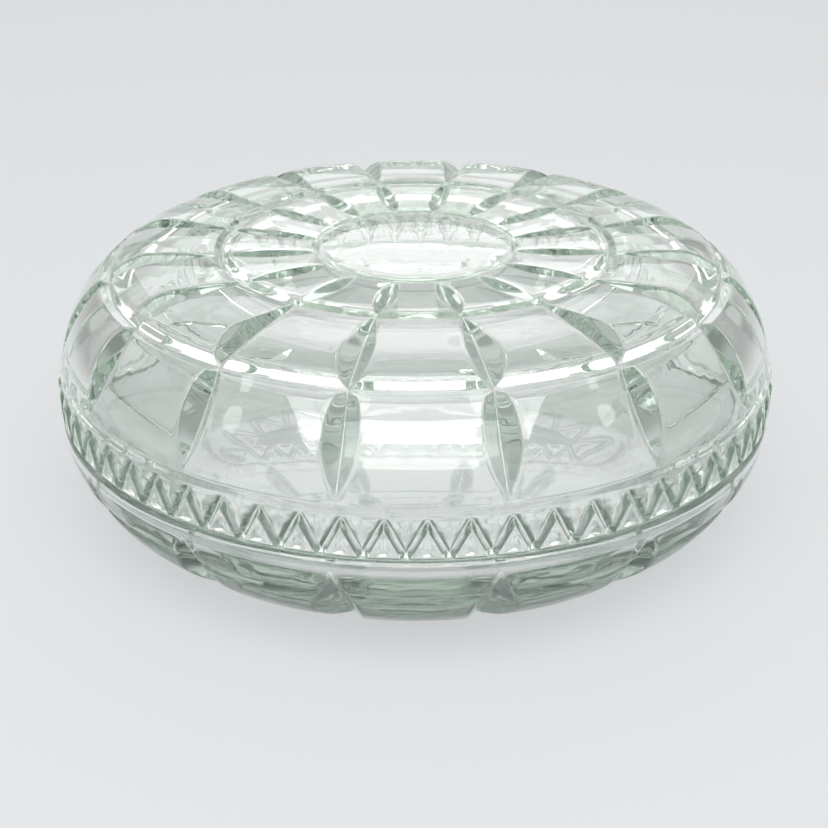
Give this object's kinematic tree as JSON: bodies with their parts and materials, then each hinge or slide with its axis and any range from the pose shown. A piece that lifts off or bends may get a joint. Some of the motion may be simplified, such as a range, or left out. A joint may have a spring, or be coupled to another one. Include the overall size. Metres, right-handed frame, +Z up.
{
  "type": "powder jar",
  "caption": "Low round covered jar of clear pressed glass: a shallow bowl and a domed lid, both with V-cut panels and a band of small triangles round the lid.",
  "frame": {"origin": "centre of the flat underside that the bowl stands on", "axes": "+Z straight up through the middle of the jar, -Y towards the front panel, +X to the right seen from the front"},
  "size_m": [0.13, 0.13, 0.0486],
  "materials": {
    "bowl_glass": "clear pressed glass with a faint grey-green tint, fire-polished",
    "lid_glass": "clear pressed glass with a faint grey-green tint, fire-polished"
  },
  "bodies": {
    "bowl": {"bowl": "bowl_glass"},
    "lid": {"lid": "lid_glass"}
  },
  "joints": [
    {"name": "lid_lift", "type": "slide", "parent": "bowl", "child": "lid", "axis": [0, 0, 1], "range_m": [0, 0.06]}
  ]
}
